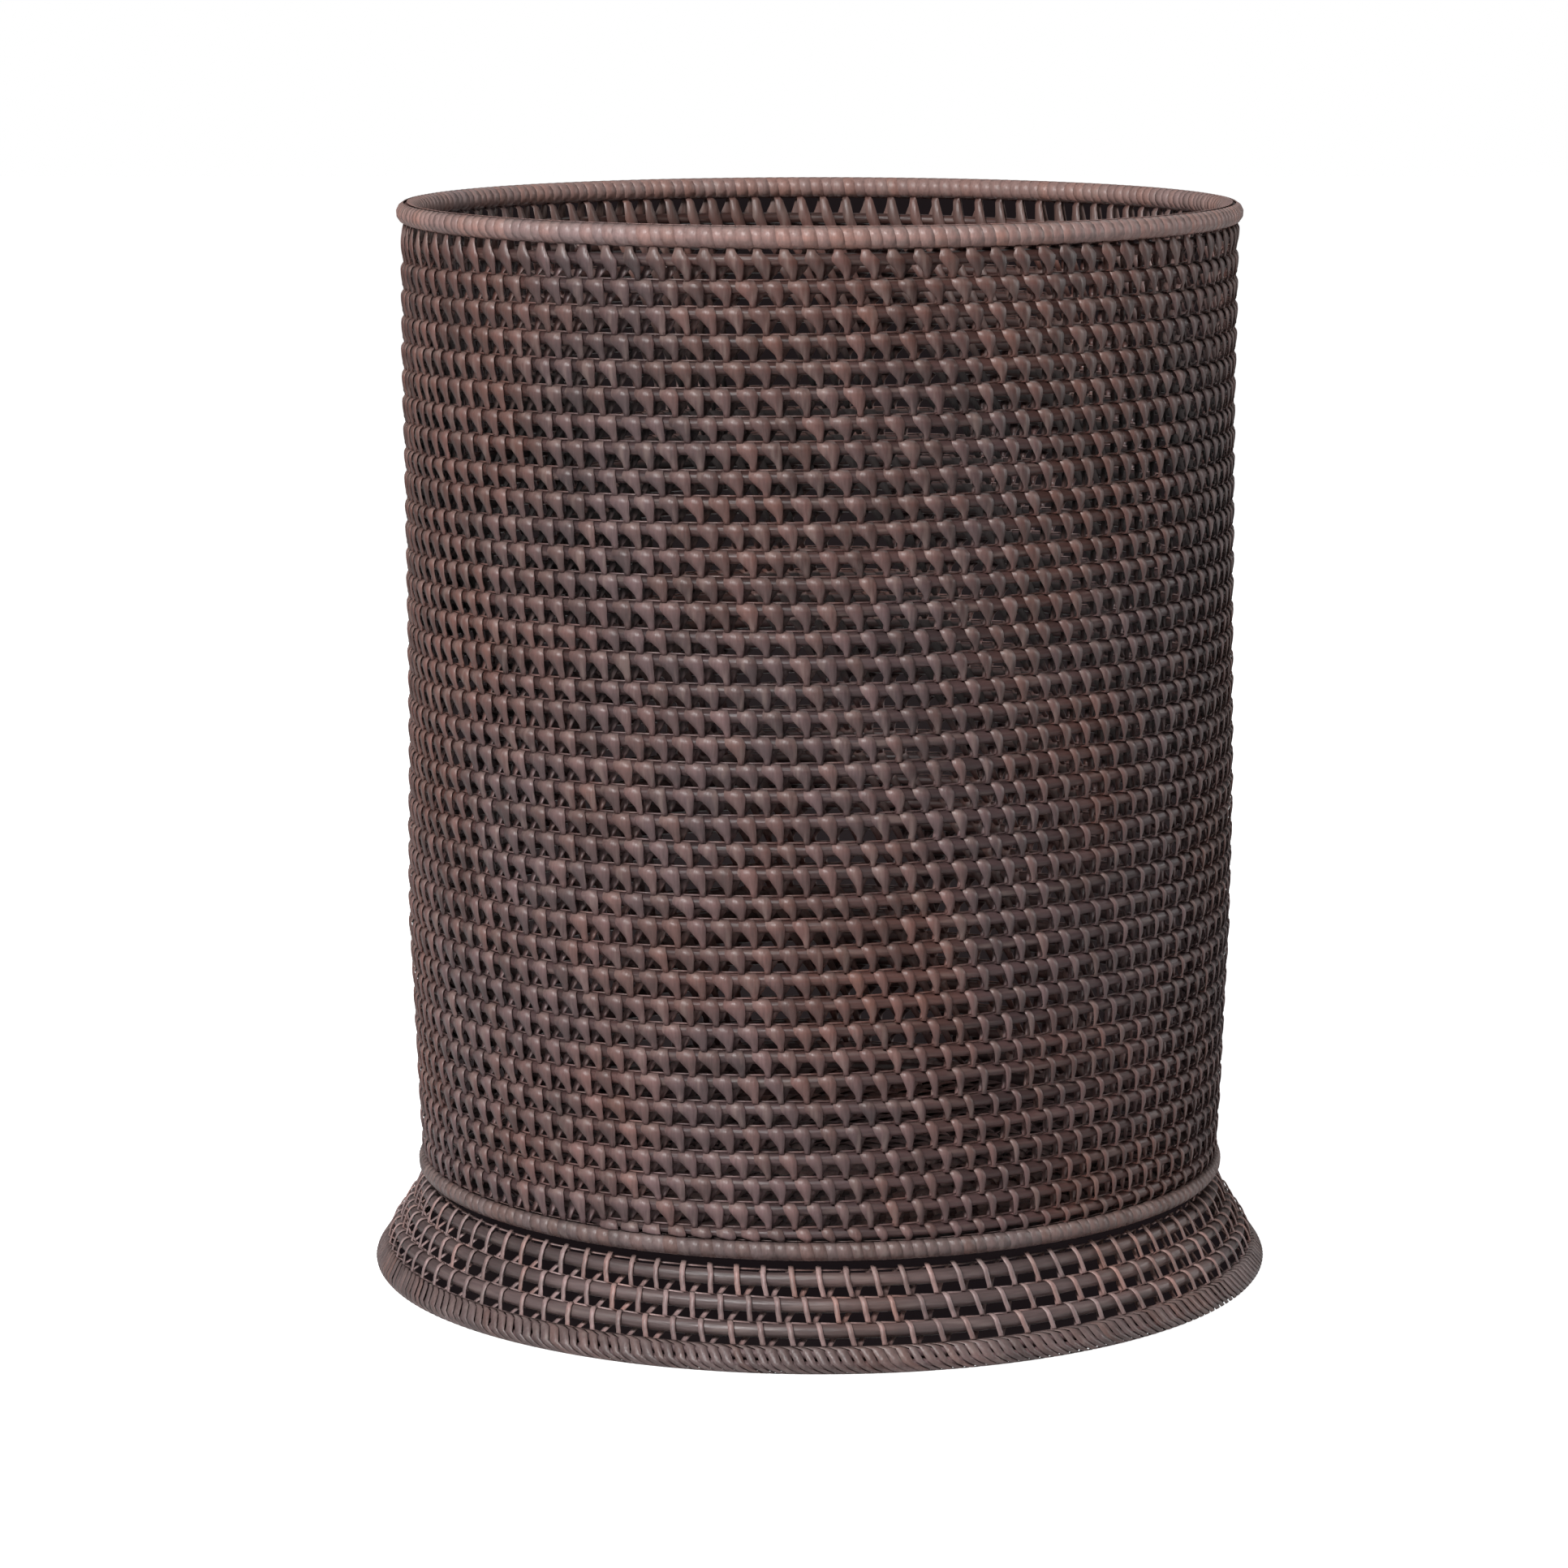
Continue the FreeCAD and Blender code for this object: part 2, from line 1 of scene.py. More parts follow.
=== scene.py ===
import bpy
import math
import numpy as np
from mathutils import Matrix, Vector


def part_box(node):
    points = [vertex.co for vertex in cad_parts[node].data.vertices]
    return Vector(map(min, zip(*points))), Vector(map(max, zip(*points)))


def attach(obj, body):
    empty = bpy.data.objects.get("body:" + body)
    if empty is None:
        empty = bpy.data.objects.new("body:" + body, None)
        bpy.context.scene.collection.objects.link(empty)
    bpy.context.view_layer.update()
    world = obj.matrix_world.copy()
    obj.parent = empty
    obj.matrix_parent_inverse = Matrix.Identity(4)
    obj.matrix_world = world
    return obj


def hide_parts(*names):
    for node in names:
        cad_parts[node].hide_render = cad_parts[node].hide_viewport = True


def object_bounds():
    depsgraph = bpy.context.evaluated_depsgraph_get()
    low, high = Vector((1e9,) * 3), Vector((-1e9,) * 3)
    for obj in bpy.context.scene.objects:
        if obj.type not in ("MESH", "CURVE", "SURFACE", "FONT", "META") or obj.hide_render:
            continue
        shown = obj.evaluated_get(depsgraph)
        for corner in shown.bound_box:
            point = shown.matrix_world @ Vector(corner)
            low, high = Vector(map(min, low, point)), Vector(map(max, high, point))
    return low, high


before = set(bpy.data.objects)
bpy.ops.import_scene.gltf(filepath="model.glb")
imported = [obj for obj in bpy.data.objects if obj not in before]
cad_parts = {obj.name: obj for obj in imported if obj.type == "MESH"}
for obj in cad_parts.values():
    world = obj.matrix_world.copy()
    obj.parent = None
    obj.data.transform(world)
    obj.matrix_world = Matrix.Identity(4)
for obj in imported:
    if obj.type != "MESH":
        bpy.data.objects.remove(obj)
cadLow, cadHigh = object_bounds()
print("frame loaded:", len(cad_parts), "nodes")

mm = 0.001
fullTurn = 2 * math.pi


def deselectAll():
    bpy.ops.object.select_all(action="DESELECT")


def readMesh(obj):  # points and faces of a modelled unit, which is then removed
    points = np.array([tuple(v.co) for v in obj.data.vertices])
    faces = [tuple(f.vertices) for f in obj.data.polygons]
    bpy.data.objects.remove(obj)
    return points, faces


def finishPiece(name, points, faces, material, nodes, strips=None):  # strips: rows of tone, hue, and wear with painted highlight and painted shade
    mesh = bpy.data.meshes.new(name)
    mesh.from_pydata(points.tolist(), [], faces)
    mesh.shade_smooth()
    piece = bpy.data.objects.new(name, mesh)
    bpy.context.scene.collection.objects.link(piece)
    deselectAll()
    piece.select_set(True)
    bpy.context.view_layer.objects.active = piece
    bpy.ops.object.mode_set(mode="EDIT")
    bpy.ops.mesh.select_all(action="SELECT")
    bpy.ops.mesh.normals_make_consistent(inside=False)
    bpy.ops.object.mode_set(mode="OBJECT")
    if strips is not None:
        for label, values in zip(("stripTone", "stripHue", "stripWearAndPaintedLight"), strips):
            mesh.attributes.new(label, "FLOAT", "POINT").data.foreach_set("value", values)
    mesh.materials.append(material)
    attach(piece, "root")
    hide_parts(*nodes)


# ---- materials: shared effects first
def newGroup(name, inputs, outputs):
    group = bpy.data.node_groups.new(name, "ShaderNodeTree")
    for label, kind, value in inputs:
        socket = group.interface.new_socket(name=label, in_out="INPUT", socket_type=kind)
        if value is not None:
            socket.default_value = value
    for label, kind in outputs:
        group.interface.new_socket(name=label, in_out="OUTPUT", socket_type=kind)
    return group, group.nodes.new("NodeGroupInput"), group.nodes.new("NodeGroupOutput")


def mathNode(tree, operation, first, second=None, clamp=False):
    node = tree.nodes.new("ShaderNodeMath")
    node.operation = operation
    node.use_clamp = clamp
    for socket, value in zip(node.inputs, (first, second)):
        if value is None:
            continue
        if isinstance(value, (int, float)):
            socket.default_value = value
        else:
            tree.links.new(value, socket)
    return node.outputs[0]


def mixColour(tree, factor, first, second, blend="MIX"):
    node = tree.nodes.new("ShaderNodeMix")
    node.data_type = "RGBA"
    node.blend_type = blend
    for socket, value in ((node.inputs[0], factor), (node.inputs[6], first), (node.inputs[7], second)):
        if isinstance(value, (int, float, tuple)):
            socket.default_value = value
        else:
            tree.links.new(value, socket)
    return node.outputs[2]


def noiseNode(tree, vector, scale, detail):  # scale is a number or another node's output
    node = tree.nodes.new("ShaderNodeTexNoise")
    if isinstance(scale, (int, float)):
        node.inputs["Scale"].default_value = scale
    else:
        tree.links.new(scale, node.inputs["Scale"])
    node.inputs["Detail"].default_value = detail
    tree.links.new(vector, node.inputs["Vector"])
    return node.outputs["Fac"]


def remap(tree, value, low, high, newLow=0.0, newHigh=1.0):
    node = tree.nodes.new("ShaderNodeMapRange")
    tree.links.new(value, node.inputs["Value"])
    for socket, number in zip(node.inputs[1:5], (low, high, newLow, newHigh)):
        socket.default_value = number
    return node.outputs["Result"]


def aroundBasket():  # distance round the basket, distance from its axis, and height, in metres
    middleRadius = 0.12
    group, start, end = newGroup("around basket", [("Vector", "NodeSocketVector", None)],
                                 [("Place", "NodeSocketVector")])
    apart = group.nodes.new("ShaderNodeSeparateXYZ")
    group.links.new(start.outputs[0], apart.inputs[0])
    angle = mathNode(group, "ARCTAN2", apart.outputs[1], apart.outputs[0])
    squares = [mathNode(group, "POWER", side, 2.0) for side in apart.outputs[:2]]
    radius = mathNode(group, "POWER", mathNode(group, "ADD", *squares), 0.5)
    along = mathNode(group, "MULTIPLY", angle, middleRadius)
    joined = group.nodes.new("ShaderNodeCombineXYZ")
    for socket, value in zip(joined.inputs, (along, radius, apart.outputs[2])):
        group.links.new(value, socket)
    group.links.new(joined.outputs[0], end.inputs[0])
    return group


def rattanGrain():  # fine fibres along the plant, soft patches of stain, rubbed spots
    group, start, end = newGroup(
        "rattan grain", [("Vector", "NodeSocketVector", None), ("Fibre Scale", "NodeSocketFloat", 900.0),
                         ("Patch Scale", "NodeSocketFloat", 60.0)],
        [("Fibre", "NodeSocketFloat"), ("Patch", "NodeSocketFloat"), ("Rub", "NodeSocketFloat")])
    rubScale = 420.0
    layers = ((start.outputs[1], 3.0, (0.3, 0.7)), (start.outputs[2], 2.0, (0.34, 0.66)),
              (rubScale, 2.0, (0.55, 0.72)))  # scale, detail, and the span that is stretched from 0 to 1
    for (scale, detail, span), socket in zip(layers, end.inputs):
        group.links.new(remap(group, noiseNode(group, start.outputs[0], scale, detail), *span), socket)
    return group


aroundGroup = aroundBasket()
grainGroup = rattanGrain()

# Painted shade: the inner side of the wall is painted nearly black, from above the base to below the mouth.
paintedShadeBounds = {"radii": [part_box(node)[1][0] - 2.2 * mm for node in ("wall_rod_37", "wall_rod_02")],
             "heights": (0.04, 0.30), "edge": (-0.4 * mm, 0.6 * mm), "begins": (0.05, 0.15), "ends": (0.258, 0.297)}


def paintedShadeMask(tree, around):  # 1 on the inner side of the wall, where shade is painted, 0 outside, at the mouth and at the base
    apart = tree.nodes.new("ShaderNodeSeparateXYZ")
    tree.links.new(around, apart.inputs[0])
    radius, height = apart.outputs[1], apart.outputs[2]
    wall = remap(tree, height, *paintedShadeBounds["heights"], *paintedShadeBounds["radii"])
    inner = remap(tree, mathNode(tree, "SUBTRACT", radius, wall), *paintedShadeBounds["edge"], 1.0, 0.0)
    above = remap(tree, height, *paintedShadeBounds["begins"])
    below = remap(tree, height, *paintedShadeBounds["ends"], 1.0, 0.0)
    return mathNode(tree, "MULTIPLY", inner, mathNode(tree, "MULTIPLY", above, below))


def attributeNode(tree, name):
    node = tree.nodes.new("ShaderNodeAttribute")
    node.attribute_name = name
    return node.outputs["Fac"]


def groupNode(tree, group, vector):
    node = tree.nodes.new("ShaderNodeGroup")
    node.node_tree = group
    tree.links.new(vector, node.inputs[0])
    return node


def stainedCane(name, v):  # dark stained rattan or cane under a thin satin lacquer, with painted shade and painted light mixed into its colour
    material = bpy.data.materials.new(name)
    material.use_nodes = True
    tree = material.node_tree
    shader = tree.nodes["Principled BSDF"]
    place = tree.nodes.new("ShaderNodeTexCoord").outputs["Object"]
    around = groupNode(tree, aroundGroup, place).outputs[0]
    stretch = tree.nodes.new("ShaderNodeMapping")
    stretch.inputs["Scale"].default_value = v["stretch"]
    tree.links.new(around, stretch.inputs[0])
    grain = groupNode(tree, grainGroup, stretch.outputs[0])
    grain.inputs["Fibre Scale"].default_value = v["fibreScale"]
    grain.inputs["Patch Scale"].default_value = v["patchScale"]
    fibre, patch, rub = grain.outputs

    split = tree.nodes.new("ShaderNodeSeparateXYZ")
    tree.links.new(place, split.inputs[0])
    share = remap(tree, split.outputs["Z"], cadLow[2], cadHigh[2])  # painted light: lighter low down and darker high up; the colour is also greyer low down
    zone = noiseNode(tree, place, v["zoneScale"], 2.0)  # broad red-brown and grey-brown zones
    zone = mathNode(tree, "ADD", zone, remap(tree, share, 0.0, 1.0, -v["greyLow"], v["greyLow"]))
    colour = mixColour(tree, remap(tree, zone, *v["zoneSpan"]), v["greyBrown"], v["redBrown"])

    rub = mathNode(tree, "MULTIPLY", rub, v["rub"])
    if v["strips"]:  # each strip has its own tone and hue, and wear with painted highlight over the rod and painted shade below it
        tone, hue, wearAndPaintedLight = [attributeNode(tree, name) for name in ("stripTone", "stripHue", "stripWearAndPaintedLight")]
        colour = mixColour(tree, mathNode(tree, "MULTIPLY", hue, v["hueSpread"]), colour, v["rust"])
        light = mathNode(tree, "ADD", remap(tree, tone, 0.0, 1.0, v["darkest"], v["lightest"]),
                         remap(tree, patch, 0.0, 1.0, -v["patchDepth"], v["patchDepth"]))
        # painted shade: the strip is darker below the rod
        light = mathNode(tree, "MULTIPLY", light, remap(tree, wearAndPaintedLight, -1.0, 0.0, v["underShade"], 1.0))
        # wear and painted highlight over the rod, mixed in with the rubbed spots
        wornAndPaintedLight = mathNode(tree, "MULTIPLY", remap(tree, wearAndPaintedLight, 0.0, 1.0), remap(tree, patch, 0.0, 1.0, 0.5, 1.0))
        rub = mathNode(tree, "ADD", rub, mathNode(tree, "MULTIPLY", wornAndPaintedLight, v["wearAndPaintedLight"]), clamp=True)
    else:
        light = remap(tree, patch, 0.0, 1.0, v["darkest"], v["lightest"])
    light = mathNode(tree, "MULTIPLY", light, remap(tree, fibre, 0.0, 1.0, 1 - v["fibreDepth"], 1.0))
    # painted light: lighter low down and darker high up
    light = mathNode(tree, "MULTIPLY", light, remap(tree, share, 0.0, 1.0, v["paintedLightLow"], v["paintedLightHigh"]))
    shade = tree.nodes.new("ShaderNodeCombineColor")
    for socket in shade.inputs[:3]:
        tree.links.new(light, socket)
    colour = mixColour(tree, 1.0, colour, shade.outputs[0], "MULTIPLY")
    # the rubbed colour: rubbed spots, and wear with painted highlight over the rod
    colour = mixColour(tree, rub, colour, v["rubbedAndHighlight"])
    # painted shade: the inner side of the wall is mixed towards a near-black colour
    paintedInsideShade = paintedShadeMask(tree, around)
    colour = mixColour(tree, mathNode(tree, "MULTIPLY", paintedInsideShade, v["deepShade"]), colour, v["paintedInsideShade"])
    tree.links.new(colour, shader.inputs["Base Color"])

    rough = remap(tree, fibre, 0.0, 1.0, v["roughness"] + 0.1, v["roughness"] - 0.04)
    rough = mathNode(tree, "ADD", rough, mathNode(tree, "MULTIPLY", paintedInsideShade, v["deepRough"]), clamp=True)
    tree.links.new(rough, shader.inputs["Roughness"])
    shader.inputs["Specular IOR Level"].default_value = v["gloss"]
    bump = tree.nodes.new("ShaderNodeBump")
    bump.inputs["Strength"].default_value = v["bump"]
    bump.inputs["Distance"].default_value = v["bumpDistance"]
    tree.links.new(fibre, bump.inputs["Height"])
    tree.links.new(bump.outputs[0], shader.inputs["Normal"])
    return material


# The near-black colour below is painted shade for the inner side of the wall.
stain = {"greyBrown": (0.116, 0.069, 0.070, 1), "redBrown": (0.140, 0.063, 0.053, 1), "rust": (0.18, 0.075, 0.05, 1),
         "rubbedAndHighlight": (0.26, 0.187, 0.165, 1), "paintedInsideShade": (0.006, 0.004, 0.004, 1),
         "zoneScale": 14.0, "zoneSpan": (0.42, 0.6), "greyLow": 0.11, "paintedLightLow": 1.3, "paintedLightHigh": 0.82,
         "hueSpread": 0.3, "darkest": 0.72, "lightest": 1.28, "patchDepth": 0.18, "fibreDepth": 0.3,
         "rub": 0.3, "wearAndPaintedLight": 0.5, "underShade": 0.5, "deepShade": 0.95, "deepRough": 0.45,
         "roughness": 0.42, "gloss": 0.5, "bump": 0.35, "bumpDistance": 0.2 * mm,
         "fibreScale": 1400.0, "patchScale": 130.0, "strips": False}
paler = {"greyBrown": (0.116, 0.079, 0.077, 1), "redBrown": (0.128, 0.076, 0.068, 1),
         "rubbedAndHighlight": (0.27, 0.21, 0.19, 1)}  # the rim and the foot are greyer than the wall
rodGrain = {"stretch": (0.12, 1, 1)}  # fibres run along a rod
stitchGrain = {"stretch": (1, 1, 0.15), "strips": True}  # and up and down a stitch
wrapGrain = {"stretch": (1, 1, 0.3), "strips": True}
rodMaterial = stainedCane("rattan rod", {**stain, **rodGrain, "darkest": 0.36, "lightest": 0.7, "gloss": 0.35})
footRodMaterial = stainedCane("rattan foot rod", {**stain, **paler, **rodGrain, "darkest": 0.5, "lightest": 1.05})
coreMaterial = stainedCane("rattan core", {**stain, **rodGrain, "roughness": 0.6})
bindingMaterial = stainedCane("cane binding", {**stain, **stitchGrain})
# painted highlight: the foot's binding is a much lighter copy of the binding, standing in for the light on its strips
footBindingPaintedLighter = stainedCane("cane foot binding painted lighter", {**stain, **paler, **stitchGrain, "darkest": 1.8, "lightest": 2.9})
wrappingMaterial = stainedCane("cane wrapping", {**stain, **paler, **wrapGrain, "darkest": 0.88, "lightest": 1.15,
                                                 "wearAndPaintedLight": 0.35})
# painted light: the rim's wrapping is a much lighter copy of the wrapping, standing in for the light from above on the
# rim
rimWrapPaintedLighter = stainedCane("cane rim wrapping painted lighter", {**stain, **paler, **wrapGrain, "darkest": 2.7, "lightest": 3.1,
                                                "wearAndPaintedLight": 0.45})
print("materials ready")


# ---- units that are modelled once
spinRadius = 4  # the strip is spun as a ring of this radius, nearly closed, before it is shaped
spinShare = 0.95
wearAndPaintedLightStops = [[0, 25, 60, 90, 115, 135, 150, 230, 280, 330, 360],  # worn and painted highlight over the rod, painted shade below it
             [0.3, 1, 1, 0, -0.8, -0.8, -0.2, 0, 0.7, 0.7, 0.3]]


def loopUnit(v):  # one turn of cane strip round a rod: from above, down the outside, up the inside
    deselectAll()
    bpy.ops.mesh.primitive_circle_add(vertices=6, radius=1, fill_type="NOTHING",
                                      location=(0, 0, spinRadius), rotation=(math.pi / 2, 0, 0))
    unit = bpy.context.object
    bpy.ops.object.transform_apply(location=True, rotation=True, scale=True)
    bpy.ops.object.mode_set(mode="EDIT")
    bpy.ops.mesh.select_all(action="SELECT")
    bpy.ops.mesh.spin(steps=v["steps"], angle=fullTurn * spinShare, center=(0, 0, 0), axis=(-1, 0, 0))
    bpy.ops.mesh.select_all(action="SELECT")
    bpy.ops.mesh.fill_holes(sides=0)
    bpy.ops.object.mode_set(mode="OBJECT")
    points, faces = readMesh(unit)
    reach = np.hypot(points[:, 1], points[:, 2])
    turned = np.degrees(np.arctan2(points[:, 1], points[:, 2])) % 360 / spinShare
    turned[turned > 360.01] = 0  # the first ring can come out just under a full turn
    turned = np.interp(turned, np.linspace(0, 360, len(v["rings"])), v["rings"])
    lift = (reach - spinRadius) * v["thickness"] / 2
    left = np.interp(turned, v["turned"], v["left"])
    right = np.interp(turned, v["turned"], v["right"])
    out, up, facing, toNext = [np.interp(turned, v["path"][0], row) for row in v["path"][1:]]
    facing = np.radians(facing)
    tuck = np.interp(turned, v["turned"], v["twist"]) * points[:, 0]  # the strip turns as it goes inwards
    return {"faces": faces, "along": (left + right) / 2, "across": points[:, 0] * (right - left) / 2,
            "out": (out + tuck) * v["reach"] + lift * np.sin(facing), "up": up * v["reach"] + lift * np.cos(facing),
            "toNext": toNext, "proud": np.sin(facing) * (1 - np.abs(toNext)),
            "wearAndPaintedLight": np.interp(turned, *wearAndPaintedLightStops)}


def roundPath():  # once round the rod, touching it all the way: angle, outward, upward, facing, share of the way on
    turned = np.linspace(0, 360, 49)
    return [turned, np.sin(np.radians(turned)), np.cos(np.radians(turned)), turned.copy(), 0 * turned]


def reachingPath(upToo):  # round the rod and on to the next one below, where it crosses inwards; or above too
    turned, out, up, facing, toNext = roundPath()
    stops = [100, 156, 180, 204, 260]
    below = (turned > 98) & (turned < 262)
    out[below] = np.interp(turned[below], [100, 112, 122, 130, 142, 156, 180, 204, 260],
                           [0.98, 0.97, 0.93, 0.85, 0.72, 0.66, 0, -0.66, -0.98])
    up[below] = np.interp(turned[below], stops, [-0.17, 0.75, 1, 0.75, -0.17])
    facing[below] = np.interp(turned[below], [100, 140, 156, 180, 204, 220, 260], [95, 92, 110, 180, 250, 268, 265])
    toNext[below] = np.interp(turned[below], stops, [0, -1, -1, -1, 0])
    if upToo:  # the upper half mirrors the lower half
        for row, sign in ((out, 1), (up, -1), (toNext, -1)):
            row[:12], row[37:] = sign * row[24:12:-1], sign * row[35:23:-1]
    return [turned, out, up, facing, toNext]


rodSides = 8


def straightRod(parts):  # a rod of unit radius along X, from 0 to 1, closed at both ends
    deselectAll()
    bpy.ops.mesh.primitive_cylinder_add(vertices=rodSides, radius=1, depth=1 / parts, end_fill_type="NOTHING",
                                        location=(0.5 / parts, 0, 0), rotation=(0, math.pi / 2, 0))
    rod = bpy.context.object
    bpy.ops.object.transform_apply(location=True, rotation=True, scale=True)
    row = rod.modifiers.new("row", "ARRAY")
    row.count = parts
    row.relative_offset_displace = (1, 0, 0)
    row.use_merge_vertices = True
    row.merge_threshold = 0.1 / parts
    bpy.ops.object.modifier_apply(modifier="row")
    bpy.ops.object.mode_set(mode="EDIT")
    bpy.ops.mesh.select_all(action="SELECT")
    bpy.ops.mesh.fill_holes(sides=0)
    bpy.ops.object.mode_set(mode="OBJECT")
    return readMesh(rod)


# ---- where the rods run
def boxOf(node):
    low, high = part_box(node)
    return np.array(low), np.array(high)


def ringOf(node):  # radius and height of the middle of a ring, and the radius of its section
    low, high = boxOf(node)
    section = (high[2] - low[2]) / 2
    return high[0] - section, (high[2] + low[2]) / 2, section


borderRadius, baseHeight, rodRadius = ringOf("base_border_rod")
rimLow, rimHigh = boxOf("rim_wrapping")
hoopLow, hoopHigh = boxOf("body_hoop_wrapping")
rimUnderside = rimLow[2]
hoopTop = hoopHigh[2]
wallTurns = len([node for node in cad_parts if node.startswith("wall_rod_")])
turnBoxes = [boxOf("wall_rod_%02d" % (wallTurns - turn)) for turn in range(wallTurns)]
lowTurn, evenTurn = 1, 20  # between these turns the coil climbs evenly
climb = (turnBoxes[evenTurn][1][2] - turnBoxes[lowTurn][1][2]) / (evenTurn - lowTurn)
wallRodRadius = (turnBoxes[evenTurn][1][2] - turnBoxes[evenTurn][0][2] - climb) / 2

# The coil in half turns: it climbs over the first half of each turn, and the topmost turns at the back too.
fullTops = np.array([high[2] - wallRodRadius for low, high in turnBoxes[:-1]])
fullRadii = np.array([high[0] - wallRodRadius for low, high in turnBoxes[:-1]])
halfHeights, halfRadii = [fullTops[0] - climb], [fullRadii[0]]
for turn in range(wallTurns - 1):
    halfHeights += [fullTops[0] + turn * climb, fullTops[turn]]
    halfRadii += [fullRadii[turn], fullRadii[turn]]
lastLevel = fullTops[0] + (wallTurns - 1) * climb
halfHeights = np.array(halfHeights + [lastLevel, lastLevel + climb, lastLevel + climb, lastLevel + climb])
halfRadii = np.array(halfRadii + [fullRadii[-1]] * 4)
firstJoint = math.radians(130)  # where each turn of the coil starts to climb, from +X
tipHeight = 0.9 * mm  # both ends of the coil are pared to this
tipLength = math.acos(1 - 2 * (2 * wallRodRadius - tipHeight) / climb)
coilStart = math.pi - tipLength
coilEnd = (wallTurns - 1) * fullTurn + math.pi + tipLength

# Hand-made unevenness of the wall: a few long waves round the basket that drift with height. Each has the
# number of waves round, its size in millimetres and its drift.
unevenRows = {"waves": [(1, 0.30, 9.0), (2, 0.28, -14.0), (3, 0.20, 21.0), (5, 0.12, -37.0),
                        (1, 0.22, 330.0), (2, 0.16, -415.0), (4, 0.10, 370.0)],
              "outward": [(2, 0.22, 12.0), (3, 0.20, -26.0), (6, 0.14, 48.0), (9, 0.10, -80.0)],
              "seed": 11, "fade": 8}


def wallShare(height):  # 0 at the body hoop, 1 at the rim
    return (height - hoopTop) / (rimUnderside - hoopTop)


def uneven(angle, height, waves, seed):
    phases = np.random.default_rng(seed).uniform(0, fullTurn, len(waves))
    total = 0
    for (count, size, drift), phase in zip(waves, phases):
        total = total + size * mm * np.sin(count * angle + drift * height + phase)
    fade, share = unevenRows["fade"], wallShare(height)
    return total * np.clip(fade * share, 0, 1) * np.clip(fade * (1 - share), 0, 1)


def coilAt(along):  # ring radius and height of the wall coil; along is the angle from the start of turn 0
    half = np.clip(np.floor(along / math.pi), 0, len(halfHeights) - 2).astype(int)
    share = (1 - np.cos(np.clip(along - half * math.pi, 0, math.pi))) / 2
    radius = halfRadii[half] + share * (halfRadii[half + 1] - halfRadii[half])
    return radius, halfHeights[half] + share * (halfHeights[half + 1] - halfHeights[half])


def wallLine(along):
    radius, height = coilAt(along)
    angle = along + firstJoint
    lift = uneven(angle, height, unevenRows["waves"], unevenRows["seed"])
    push = uneven(angle, height, unevenRows["outward"], unevenRows["seed"] + 1)
    return radius + push, height + lift


def ringLine(radius, height):
    def line(along):
        return np.full_like(along, radius), np.full_like(along, height)
    return line


# ---- laying units along a line
def blended(unit, other, share):  # part way to another shape of the same strip, by a share for each copy
    rows = ("along", "across", "out", "up")
    return {**unit, **{row: unit[row] + share[:, None] * (other[row] - unit[row]) for row in rows}}


def layLoops(unit, places, pitch, line, spread, seed, firstAngle=0.0, slope=0.0, above=0.0, below=0.0):
    rng = np.random.default_rng(seed)
    count = len(places)
    wider = 1 + spread["width"] * rng.uniform(-1, 1, (count, 1))
    proud = spread["out"] * mm * rng.uniform(0, 1, (count, 1))
    shifted = spread["lean"] * rng.uniform(-1, 1, (count, 1))
    turn = places[:, None] + pitch * (unit["along"] + shifted * np.abs(unit["proud"]) + unit["across"] * wider)
    ringRadius, ringHeight = line(turn)
    spacing = np.where(unit["toNext"] > 0, np.reshape(above, (-1, 1)), np.reshape(below, (-1, 1)))
    up = unit["up"] + unit["toNext"] * spacing
    out = unit["out"] + proud * unit["proud"]
    across = ringRadius + out * math.cos(slope) - up * math.sin(slope)
    height = ringHeight + up * math.cos(slope) + out * math.sin(slope)
    return roundTheAxis(across, turn + firstAngle, height), copiedFaces(unit, count), stripValues(unit, count, rng)


def roundTheAxis(radius, angle, height):
    return np.stack([radius * np.cos(angle), radius * np.sin(angle), height], axis=-1).reshape(-1, 3)


def copiedFaces(unit, count):
    size = len(unit["toNext"])
    return [tuple(index + copy * size for index in face) for copy in range(count) for face in unit["faces"]]


def stripValues(unit, count, rng):  # one tone and one hue for each strip, and its wear with painted highlight over the rod and painted shade below it
    size = len(unit["toNext"])
    wornAndPaintedLight = rng.uniform(0.5, 1, (count, 1)) * unit["wearAndPaintedLight"]
    return np.stack([np.repeat(rng.uniform(0, 1, count), size), np.repeat(rng.uniform(0, 1, count) ** 3, size),
                     wornAndPaintedLight.ravel()])


def layRod(parts, begin, length, line, firstAngle, thickness):  # its thickness swells and shrinks a little
    points, faces = straightRod(parts)
    turn = begin + length * points[:, 0]
    ringRadius, ringHeight = line(turn)
    swell = 1 + 0.03 * np.sin(turn * 23) + 0.025 * np.sin(turn * 57 + 1)
    across = ringRadius + points[:, 1] * thickness * swell
    height = ringHeight + points[:, 2] * thickness * swell
    return roundTheAxis(across, turn + firstAngle, height), faces


# ---- wall: the coiled rod, one length for each turn
partsPerTurn = 150
paredTop = turnBoxes[-1][1][2]
paredBottom = turnBoxes[0][0][2]
for turn in range(wallTurns):
    begin = max(turn * fullTurn, coilStart)
    length = min((turn + 1) * fullTurn, coilEnd) - begin
    parts = round(partsPerTurn * length / fullTurn)
    points, faces = layRod(parts, begin, length, wallLine, firstJoint, wallRodRadius)
    points[:, 2] = np.clip(points[:, 2], paredBottom, paredTop)
    label = wallTurns - turn
    finishPiece("wallRod_%02d" % label, points, faces, rodMaterial, ["wall_rod_%02d" % label])
print("wall rods laid:", wallTurns)

